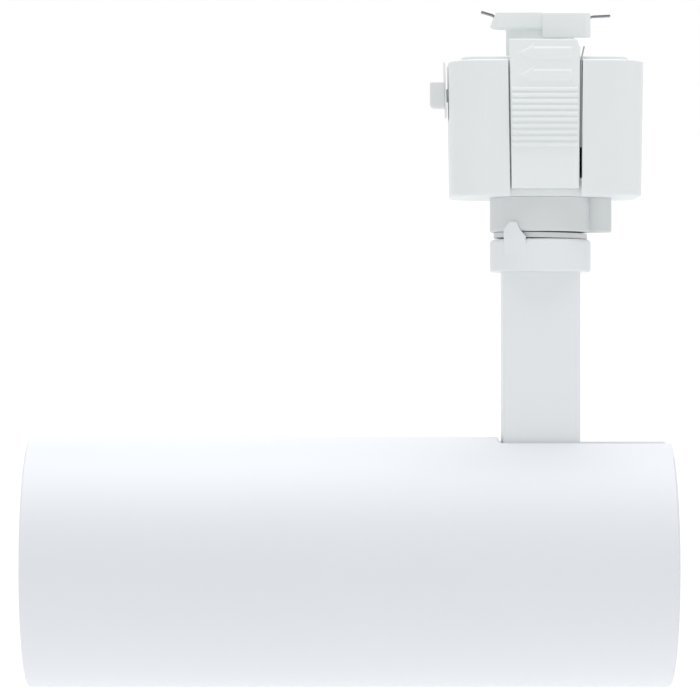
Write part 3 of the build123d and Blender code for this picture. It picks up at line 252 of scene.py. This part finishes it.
def mesh_object(name, bm, material, smooth=True):
    """An object in the scene from a finished bmesh."""
    bmesh.ops.recalc_face_normals(bm, faces=bm.faces[:])
    mesh = bpy.data.meshes.new(name)
    bm.to_mesh(mesh)
    bm.free()
    for polygon in mesh.polygons:
        polygon.use_smooth = smooth
    mesh.materials.append(material)
    made = bpy.data.objects.new(name, mesh)
    bpy.context.scene.collection.objects.link(made)
    return made


def join_rings(bm, rings):
    """Fills the faces between neighbouring rings, the last one to the first."""
    columns = len(rings[0])
    for row, ring in enumerate(rings):
        following = rings[(row + 1) % len(rings)]
        for column in range(columns):
            right = (column + 1) % columns
            bm.faces.new((ring[column], ring[right], following[right], following[column]))


def ring_at(bm, z, radii):
    """A level ring round the swivel axis, with a radius for each of its corners."""
    ring = []
    for column, radius in enumerate(radii):
        angle = 2 * math.pi * column / len(radii)
        ring.append(bm.verts.new((radius * math.cos(angle), radius * math.sin(angle), z)))
    return ring


def lathe(profile, centre, axis, columns):
    """A bmesh turned from a closed (along, radius) profile round a line through centre."""
    across = Vector((0, 1, 0)) if axis.x else Vector((1, 0, 0))
    up = axis.cross(across)
    bm = bmesh.new()
    rings = []
    for along, radius in profile:
        ring = []
        for column in range(columns):
            angle = 2 * math.pi * column / columns
            out = across * math.cos(angle) + up * math.sin(angle)
            ring.append(bm.verts.new(centre + axis * along + out * radius))
        rings.append(ring)
    join_rings(bm, rings)
    return bm


def block(bm, low, high):
    """Adds a closed box to a bmesh."""
    size = [b - a for a, b in zip(low, high)]
    middle = [(a + b) / 2 for a, b in zip(low, high)]
    made = bmesh.ops.create_cube(bm, size=1.0)["verts"]
    bmesh.ops.scale(bm, vec=size, verts=made)
    bmesh.ops.translate(bm, vec=middle, verts=made)


def soften(piece, width):
    """Rounds a piece's edges by a width in millimetres."""
    bevel = piece.modifiers.new("rounded edges", "BEVEL")
    bevel.width = width * MM
    bevel.segments = 3
    bevel.limit_method = "ANGLE"


def middle_of(node):
    """Centre and half size of a CAD node's box."""
    low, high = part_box(node)
    return (low + high) / 2, (high - low) / 2


# ---- finishes ----

def powder_coat(name, colour):
    """Polyester powder coat, sprayed and baked: an even satin white with a slight orange peel.

    The peel's waves are about 1.5 mm across and a few micrometres deep, so highlights stay soft.
    """
    return grained(name, colour, 0.42, (30, 0.015), (1.5, 0.006, 0.03), IOR=1.5)


def moulded_plastic(name, colour, roughness, ior):
    """Injection-moulded thermoplastic from a spark-eroded tool: satin, with a grain near 0.3 mm."""
    return grained(name, colour, roughness, (9, 0.02), (0.3, 0.008, 0.05), IOR=ior)


def plated_strip(name, colour):
    """Rolled spring bronze, dull tin plate: fine rolling lines along the strip, darker in patches.

    Rolling lines are finer than the render can show, so they are drawn 0.25 mm apart.
    """
    return grained(
        name, colour, 0.42, (4, 0.35), (0.25, 0.004, 0.1), stretch=(0.12, 1, 0.12), Metallic=1.0
    )


def spring_steel():
    """Cold-rolled spring steel, ground and oiled: grey, with straight fine scratches."""
    return grained(
        "spring steel, rolled", linear("D4D7DA"), 0.32, (5, 0.15), (0.2, 0.004, 0.1),
        stretch=(1, 1, 0.1), Metallic=1.0,
    )


def zinc_plate():
    """Steel turned and zinc plated: bright bluish grey with a slight cloudiness."""
    return grained(
        "steel, zinc plated", linear("C2C6CB"), 0.28, (2.5, 0.12), (0.3, 0.003, 0.08), Metallic=1.0
    )


def galvanised_sheet():
    """Hot-dip galvanised sheet, folded: flat crystals 4 mm across that differ in grey."""
    material, tree, shader, place = blank_material("steel sheet, galvanised")
    shader.inputs["Metallic"].default_value = 1.0
    crystals = add_node(
        tree, "ShaderNodeTexVoronoi", {"Scale": 1 / (4 * MM), "Randomness": 1.0}, {"Vector": place}
    )
    grey = add_node(
        tree, "ShaderNodeMix",
        {"data_type": "RGBA", 6: opaque(linear("9EA3A8")), 7: opaque(linear("C6CACE"))},
        {0: crystals.outputs["Color"]},
    )
    rough = add_node(
        tree, "ShaderNodeMapRange", {"To Min": 0.3, "To Max": 0.5}, {"Value": crystals.outputs["Color"]}
    )
    tree.links.new(grey.outputs[2], shader.inputs["Base Color"])
    tree.links.new(rough.outputs[0], shader.inputs["Roughness"])
    return material


def cast_aluminium():
    """Die-cast aluminium, blasted: pale grey with a sandy grain of about 0.5 mm."""
    return grained(
        "aluminium, die cast", linear("C9CBCC"), 0.5, (6, 0.1), (0.5, 0.03, 0.1), Metallic=1.0
    )


def fibre():
    """Vulcanised fibre, punched: dull grey with long fibres in its face."""
    return grained(
        "vulcanised fibre, punched", linear("C9C7C0"), 0.7, (3, 0.15), (0.35, 0.02, 0.05),
        stretch=(1, 0.15, 1),
    )


def circuit_board():
    """Glass-epoxy board under green solder mask: darker where copper runs below it.

    The copper runs form a maze about 2.5 mm across, drawn from the borders of cells.
    """
    material, tree, shader, place = blank_material("glass epoxy, solder mask")
    shader.inputs["Roughness"].default_value = 0.35
    shader.inputs["IOR"].default_value = 1.55
    cells = add_node(
        tree, "ShaderNodeTexVoronoi", {"Scale": 1 / (2.5 * MM), "feature": "DISTANCE_TO_EDGE"},
        {"Vector": place},
    )
    runs = add_node(
        tree, "ShaderNodeMapRange", {"From Min": 0.1, "From Max": 0.16}, {"Value": cells.outputs["Distance"]}
    )
    green = add_node(
        tree, "ShaderNodeMix",
        {"data_type": "RGBA", 6: opaque(linear("2E7A4C")), 7: opaque(linear("1C5A37"))},
        {0: runs.outputs[0]},
    )
    bump = add_node(
        tree, "ShaderNodeBump", {"Distance": 0.03 * MM, "invert": True}, {"Height": runs.outputs[0]}
    )
    tree.links.new(green.outputs[2], shader.inputs["Base Color"])
    tree.links.new(bump.outputs[0], shader.inputs["Normal"])
    return material


def striped_insulation():
    """Silicone insulation, extruded: one blue, one green and yellow and one brown wire.

    The three wires lie side by side along Y, so the colour follows Y; the earth wire's stripe
    runs along it.
    """
    material, tree, shader, place = blank_material("silicone insulation, extruded")
    shader.inputs["Roughness"].default_value = 0.45
    shader.inputs["IOR"].default_value = 1.41
    split = add_node(tree, "ShaderNodeSeparateXYZ", links={"Vector": place})
    across = add_node(
        tree, "ShaderNodeMapRange", {"From Min": -3 * MM, "From Max": 3 * MM}, {"Value": split.outputs["Y"]}
    )
    ramp = add_node(tree, "ShaderNodeValToRGB", links={"Fac": across.outputs[0]})
    ramp.color_ramp.interpolation = "CONSTANT"
    stops = [(0.0, "2F5E9E"), (0.33, "4C9A3C"), (0.46, "E0C93A"), (0.54, "4C9A3C"), (0.67, "6B3F26")]
    ramp.color_ramp.elements[0].color = opaque(linear(stops[0][1]))
    ramp.color_ramp.elements[1].position = stops[-1][0]
    ramp.color_ramp.elements[1].color = opaque(linear(stops[-1][1]))
    for position, code in stops[1:-1]:
        ramp.color_ramp.elements.new(position).color = opaque(linear(code))
    powder = add_node(
        tree, "ShaderNodeTexNoise", {"Scale": 1 / (0.4 * MM)}, {"Vector": place}
    )
    bump = add_node(
        tree, "ShaderNodeBump", {"Distance": 0.01 * MM}, {"Height": powder.outputs["Fac"]}
    )
    tree.links.new(ramp.outputs["Color"], shader.inputs["Base Color"])
    tree.links.new(bump.outputs[0], shader.inputs["Normal"])
    return material


def silicone(name, code):
    """Extruded or cast silicone: soft satin, with a little dust that takes the shine off."""
    return grained(name, linear(code), 0.48, (3, 0.06), (0.3, 0.01, 0.06), IOR=1.41)


def phosphor():
    """Phosphor in cast silicone: warm yellow, with grains of about 0.3 mm under a clear skin."""
    return grained(
        "phosphor in silicone, cast", linear("F2C64B"), 0.4, (0.5, 0.2), (0.3, 0.01, 0.05),
        IOR=1.41, Coat_Weight=0.6, Coat_Roughness=0.1,
    )


def ceramic():
    """Alumina ceramic, fired: milky white and slightly rough."""
    return grained("alumina ceramic, fired", linear("EDEDE8"), 0.5, (2, 0.04), (0.2, 0.006, 0.06), IOR=1.76)


def bright_aluminium():
    """Aluminium, spun, peened and bright anodised: mirror facets with a faint haze."""
    return grained(
        "aluminium, bright anodised", linear("E3E5E8"), 0.09, (12, 0.03), (0.4, 0.001, 0.02), Metallic=1.0
    )


def clear_glass():
    """Float glass, cut and tempered: clear, with a faint film that only the highlights show."""
    return grained(
        "float glass, tempered", linear("F6FAFA"), 0.03, (20, 0.01), (6, 0.0005, 0.02),
        IOR=1.52, Transmission_Weight=1.0,
    )


def enamelled_copper():
    """Drawn copper wire under clear enamel: deep orange-brown, glossy."""
    return grained(
        "copper wire, enamelled", linear("B4622F"), 0.25, (1.5, 0.2), (0.3, 0.003, 0.05), Metallic=1.0
    )


def ferrite():
    """Sintered ferrite and wound tape: near black, dull and slightly porous."""
    return grained("ferrite, sintered", linear("34312F"), 0.6, (1.5, 0.3), (0.3, 0.03, 0.08), IOR=1.6)


def shrink_sleeve():
    """Heat-shrunk sleeve over an aluminium can: glossy, with shallow wrinkles 2 mm apart."""
    return grained("shrink sleeve, shrunk", linear("23262B"), 0.25, (5, 0.1), (2, 0.05, 0.05), IOR=1.53)


def solder():
    """Reflowed solder: bright grey with a soft crystalline cloud."""
    return grained("solder, reflowed", linear("BFC1C2"), 0.25, (0.6, 0.2), (0.3, 0.01, 0.1), Metallic=1.0)


# ---- pieces ----

def peened_profile(back, front, rows):
    """Points (along, radius) of the bowl's inside between its back and front circles."""
    points = []
    for row in range(rows + 1):
        share = row / rows
        bow = BOWL_BOW * math.sin(math.pi * share)
        points.append((
            back[0] + (front[0] - back[0]) * (share - bow),
            back[1] + (front[1] - back[1]) * (share + bow / 2),
        ))
    return points


class SPOTLIGHT_OT_lamp(bpy.types.Operator):
    """Powder coat on the lamp's tube, rear cap and bezel"""

    bl_idname = "spotlight.lamp"
    bl_label = "Lamp shell"

    def execute(self, context):
        colours = context.scene.spotlight_colours
        dress(powder_coat("aluminium tube, powder coated", colours.lamp_coat), "lamp_housing")
        dress(powder_coat("aluminium ends, powder coated", colours.lamp_coat), "rear_cap", "front_bezel")
        return {"FINISHED"}


class SPOTLIGHT_OT_arm(bpy.types.Operator):
    """Powder coat on the arm and its collar, wires inside the arm"""

    bl_idname = "spotlight.arm"
    bl_label = "Arm"

    def execute(self, context):
        colours = context.scene.spotlight_colours
        dress(powder_coat("die-cast arm, powder coated", colours.arm_coat), "arm", "arm_collar")
        dress(striped_insulation(), "arm_wires", "mains_leads")
        return {"FINISHED"}


class SPOTLIGHT_OT_adapter(bpy.types.Operator):
    """Moulded parts of the track adapter"""

    bl_idname = "spotlight.adapter"
    bl_label = "Adapter mouldings"

    def execute(self, context):
        colours = context.scene.spotlight_colours
        shell = moulded_plastic("polycarbonate shell, moulded", colours.adapter_shell, 0.45, 1.58)
        dress(shell, "adapter_body", "adapter_lid")
        # This darker grey is partly the neck's own plastic and partly painted shade from the adapter body
        # above.
        neck = moulded_plastic("polyamide neck, moulded, with painted shade", colours.neck_grey_and_shade, 0.5, 1.53)
        dress(neck, "neck_ring", "swivel_washer")
        latch = moulded_plastic("polycarbonate latch, moulded", colours.latch_shell, 0.4, 1.58)
        dress(latch, "latch")
        button = moulded_plastic("polycarbonate button, moulded", colours.button_shell, 0.45, 1.58)
        dress(button, "side_button")
        dress(moulded_plastic("polyamide head, moulded", colours.head_shell, 0.45, 1.53), "track_head")
        dress(moulded_plastic("polyamide block, moulded", linear("D9D8CF"), 0.5, 1.53), "terminal_block")
        return {"FINISHED"}


class SPOTLIGHT_OT_metalwork(bpy.types.Operator):
    """Contact strips, springs, screws and washers"""

    bl_idname = "spotlight.metalwork"
    bl_label = "Metalwork"

    def execute(self, context):
        colours = context.scene.spotlight_colours
        strip = plated_strip("spring bronze, rolled and tinned", colours.contact_plating)
        dress(strip, "live_contact", "neutral_contact")
        earth = plated_strip("spring bronze, rolled and nickel plated", colours.earth_plating)
        dress(earth, "earth_contact")
        dress(powder_coat("spring steel leaf, painted", colours.leaf_coat), "button_leaf")
        dress(spring_steel(), "latch_spring", "spring_washer")
        dress(
            zinc_plate(), "lid_screws", "terminal_screws", "swivel_nut", "cap_screws", "bracket_screws",
            "pivot_pin", "pivot_nut", "driver_screws", "holder_screws",
        )
        dress(galvanised_sheet(), "pivot_bracket")
        dress(fibre(), "friction_washers")
        dress(cast_aluminium(), "bulkhead", "heat_sink")
        return {"FINISHED"}


class SPOTLIGHT_OT_nipple(bpy.types.Operator):
    """Hollow swivel tube with a real screw thread"""

    bl_idname = "spotlight.nipple"
    bl_label = "Threaded tube"

    def execute(self, context):
        sizes = context.scene.spotlight_sizes
        centre, half = middle_of("threaded_nipple")
        bore = half.x * BORE_SHARE
        rows = round(2 * half.z / sizes.thread_pitch * THREAD_ROWS)
        bm = bmesh.new()
        rings = []
        for row in range(rows + 1):
            phases = [(row / THREAD_ROWS - column / THREAD_COLUMNS) % 1.0 for column in range(THREAD_COLUMNS)]
            radii = [half.x - sizes.thread_depth * abs(2 * phase - 1) for phase in phases]
            rings.append(ring_at(bm, centre.z - half.z + 2 * half.z * row / rows, radii))
        for z in (centre.z + half.z, centre.z - half.z):
            rings.append(ring_at(bm, z, [bore] * THREAD_COLUMNS))
        join_rings(bm, rings)
        piece = mesh_object("nipple_thread", bm, zinc_plate(), smooth=False)
        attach(piece, "swivel_arm")
        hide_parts("threaded_nipple")
        return {"FINISHED"}


class SPOTLIGHT_OT_driver(bpy.types.Operator):
    """Driver case, circuit board and what stands on it"""

    bl_idname = "spotlight.driver"
    bl_label = "Driver"

    def execute(self, context):
        case = moulded_plastic("polycarbonate case, moulded", linear("E4E4DF"), 0.5, 1.58)
        dress(case, "driver_tray", "driver_cover")
        dress(circuit_board(), "driver_board")
        dress(ferrite(), "driver_transformer", "driver_choke")
        dress(shrink_sleeve(), "driver_capacitors")
        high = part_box("driver_board")[1]
        chips = bmesh.new()
        legs = bmesh.new()
        for x, y, half_x, half_y in CHIPS:
            middle = Vector((x * MM, y * MM, high.z))
            reach = Vector((half_x, half_y, 0)) * MM
            foot, top = (Vector((0, 0, height * MM)) for height in CHIP_HEIGHT)
            block(chips, middle - reach + foot, middle + reach + top)
            for leg in range(CHIP_LEGS):
                along = x + (leg - (CHIP_LEGS - 1) / 2) * 2 * half_x / CHIP_LEGS
                for side in (-1, 1):
                    edge = y + side * (half_y + LEG_REACH)
                    corner = Vector((along, edge, 0)) * MM
                    spread = Vector((*LEG_HALF, 0)) * MM
                    bottom, upper = (Vector((0, 0, high.z + height * MM)) for height in LEG_HEIGHT)
                    block(legs, corner - spread + bottom, corner + spread + upper)
        bodies = mesh_object("board_chips", chips, ferrite(), smooth=False)
        soften(bodies, CHIP_EDGE)
        feet = mesh_object("chip_legs", legs, solder(), smooth=False)
        soften(feet, LEG_EDGE)
        for piece, slot in ((bodies, "wound_ferrite"), (feet, "zinc_plated_steel")):
            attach(piece, "lamp")
        return {"FINISHED"}


class SPOTLIGHT_OT_choke(bpy.types.Operator):
    """Enamelled wire wound round the ring choke"""

    bl_idname = "spotlight.choke"
    bl_label = "Choke winding"

    def execute(self, context):
        sizes = context.scene.spotlight_sizes
        centre, half = middle_of("driver_choke")
        ring_r = half.x - half.z
        curve = bpy.data.curves.new("choke_winding", "CURVE")
        curve.dimensions = "3D"
        curve.bevel_depth = sizes.choke_wire / 2
        curve.bevel_resolution = 3
        line = curve.splines.new("POLY")
        count = sizes.choke_turns * WINDING_STEPS
        line.points.add(count - 1)
        for index in range(count):
            round_ring = 2 * math.pi * index / count
            round_core = 2 * math.pi * index / WINDING_STEPS
            radius = ring_r + half.z * math.cos(round_core)
            line.points[index].co = (
                centre.x + radius * math.cos(round_ring), centre.y + radius * math.sin(round_ring),
                centre.z + half.z * math.sin(round_core), 1,
            )
        line.use_cyclic_u = True
        curve.materials.append(enamelled_copper())
        piece = bpy.data.objects.new("choke_winding", curve)
        context.scene.collection.objects.link(piece)
        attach(piece, "lamp")
        return {"FINISHED"}


class SPOTLIGHT_OT_reflector(bpy.types.Operator):
    """Peened reflector bowl and glass"""

    bl_idname = "spotlight.reflector"
    bl_label = "Reflector"

    def execute(self, context):
        sizes = context.scene.spotlight_sizes
        centre, half = middle_of("reflector")
        axis = Vector((-1, 0, 0))
        back = (-half.x + BOWL_BACK_GAP * MM, BOWL_BACK_R * MM)
        front = (half.x - BOWL_FRONT_GAP * MM, BOWL_FRONT_R * MM)
        wall = sizes.reflector_wall
        inner = peened_profile(back, front, sizes.peen_rows)
        rim = [(half.x, front[1]), (half.x, half.y), (half.x - wall, half.y)]
        outer = [(along - wall * 0.5, radius + wall) for along, radius in reversed(inner)]
        bm = lathe(inner + rim + outer, centre, axis, sizes.peen_columns)
        piece = mesh_object("reflector_bowl", bm, bright_aluminium(), smooth=False)
        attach(piece, "lamp")
        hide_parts("reflector")
        dress(clear_glass(), "front_glass")
        return {"FINISHED"}


class SPOTLIGHT_OT_source(bpy.types.Operator):
    """Light source: ceramic board, phosphor, silicone dam, holder and leads"""

    bl_idname = "spotlight.source"
    bl_label = "Light source"

    def execute(self, context):
        sizes = context.scene.spotlight_sizes
        dress(ceramic(), "led_board")
        dress(phosphor(), "led_emitter")
        dress(moulded_plastic("polybutylene holder, moulded", linear("E9E9E6"), 0.5, 1.55), "led_holder")
        dress(silicone("silicone leads, extruded", "C9473B"), "led_leads")
        centre, half = middle_of("led_emitter")
        width = sizes.dam_width
        points = []
        for corner in range(DAM_CORNERS):
            angle = 2 * math.pi * corner / DAM_CORNERS
            along = half.x * DAM_HEIGHT * math.sin(angle)
            points.append((along, half.y + width / 2 * (1 + DAM_FULLNESS * math.cos(angle))))
        ring = lathe(points, centre, Vector((1, 0, 0)), DAM_COLUMNS)
        dam = mesh_object("source_dam", ring, silicone("silicone dam, dispensed", "F1F1EC"))
        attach(dam, "lamp")
        return {"FINISHED"}


# ---- stage ----

def white_sheet():
    """Matt painted plywood sweep: plain and pale, with a barely visible roller texture."""
    glow = bpy.context.scene.spotlight_stage.floor_glow
    return grained(
        "sweep, matt painted", linear("FAFAFA"), 0.8, (200, 0.01), (3, 0.01, 0.02),
        Emission_Color=(1, 1, 1, 1), Emission_Strength=glow,
    )


def soft_light(name, place, aim, size, power):
    """A square light at a place that faces a point."""
    data = bpy.data.lights.new(name, "AREA")
    data.shape = "SQUARE"
    data.size = size
    data.energy = power
    made = bpy.data.objects.new(name, data)
    made.location = place
    made.rotation_euler = (Vector(aim) - Vector(place)).to_track_quat("-Z", "Y").to_euler()
    bpy.context.scene.collection.objects.link(made)
    return made


class SPOTLIGHT_OT_stage(bpy.types.Operator):
    """Pale floor that sweeps up into a backdrop, soft light and camera"""

    bl_idname = "spotlight.stage"
    bl_label = "Stage"

    def execute(self, context):
        scene = context.scene
        stage = scene.spotlight_stage
        line = [(-SWEEP_HALF, -stage.floor_drop)]
        for step in range(SWEEP_STEPS + 1):
            angle = math.pi / 2 * step / SWEEP_STEPS
            line.append((
                stage.sweep_back - SWEEP_RADIUS + SWEEP_RADIUS * math.sin(angle),
                -stage.floor_drop + SWEEP_RADIUS - SWEEP_RADIUS * math.cos(angle),
            ))
        line.append((stage.sweep_back, SWEEP_HALF))
        bm = bmesh.new()
        left = [bm.verts.new((-SWEEP_HALF, y, z)) for y, z in line]
        right = [bm.verts.new((SWEEP_HALF, y, z)) for y, z in line]
        for index in range(len(line) - 1):
            bm.faces.new((left[index], right[index], right[index + 1], left[index + 1]))
        sweep = mesh_object("sweep", bm, white_sheet())
        soft_light("top light", TOP_LIGHT, (0, 0, 0), LIGHT_SIZE, stage.top_power)
        backdrop = (0, stage.sweep_back, 0)
        soft_light("backdrop light", BACK_LIGHT, backdrop, LIGHT_SIZE, stage.back_power)
        world = bpy.data.worlds.new("room")
        scene.world = world
        world.use_nodes = True
        room = world.node_tree.nodes["Background"]
        room.inputs["Color"].default_value = (1, 1, 1, 1)
        room.inputs["Strength"].default_value = stage.room_light
        camera = bpy.data.cameras.new("camera")
        camera.lens = stage.lens
        camera.sensor_width = SENSOR_WIDTH
        viewer = bpy.data.objects.new("camera", camera)
        viewer.location = CAMERA_PLACE
        viewer.rotation_euler = (math.pi / 2, 0, 0)
        scene.collection.objects.link(viewer)
        scene.camera = viewer
        scene.view_settings.view_transform = "Standard"
        return {"FINISHED"}


class SPOTLIGHT_PT_panel(bpy.types.Panel):
    """Lists the steps that finish the spotlight"""

    bl_idname = "SPOTLIGHT_PT_panel"
    bl_label = "Track spotlight"
    bl_space_type = "VIEW_3D"
    bl_region_type = "UI"
    bl_category = "Spotlight"

    def draw(self, context):
        for group in ("spotlight_colours", "spotlight_sizes", "spotlight_stage"):
            box = self.layout.box()
            settings = getattr(context.scene, group)
            for name in settings.bl_rna.properties.keys():
                if name not in ("rna_type", "name"):
                    box.prop(settings, name)
        for step in STEPS:
            self.layout.operator(step.bl_idname)


SETTINGS = {
    "spotlight_colours": SpotlightColours,
    "spotlight_sizes": SpotlightSizes,
    "spotlight_stage": SpotlightStage,
}
STEPS = (
    SPOTLIGHT_OT_lamp,
    SPOTLIGHT_OT_arm,
    SPOTLIGHT_OT_adapter,
    SPOTLIGHT_OT_metalwork,
    SPOTLIGHT_OT_nipple,
    SPOTLIGHT_OT_driver,
    SPOTLIGHT_OT_choke,
    SPOTLIGHT_OT_reflector,
    SPOTLIGHT_OT_source,
    SPOTLIGHT_OT_stage,
)


def register():
    """Registers the settings, the steps and the panel."""
    for name, group in SETTINGS.items():
        bpy.utils.register_class(group)
        setattr(bpy.types.Scene, name, bpy.props.PointerProperty(type=group))
    for step in (*STEPS, SPOTLIGHT_PT_panel):
        bpy.utils.register_class(step)


def unregister():
    """Takes the panel, the steps and the settings away again."""
    for step in (SPOTLIGHT_PT_panel, *reversed(STEPS)):
        bpy.utils.unregister_class(step)
    for name, group in SETTINGS.items():
        delattr(bpy.types.Scene, name)
        bpy.utils.unregister_class(group)


def main():
    """Builds everything."""
    register()
    for step in STEPS:
        family, action = step.bl_idname.split(".")
        getattr(getattr(bpy.ops, family), action)()


if __name__ == "__main__":
    main()
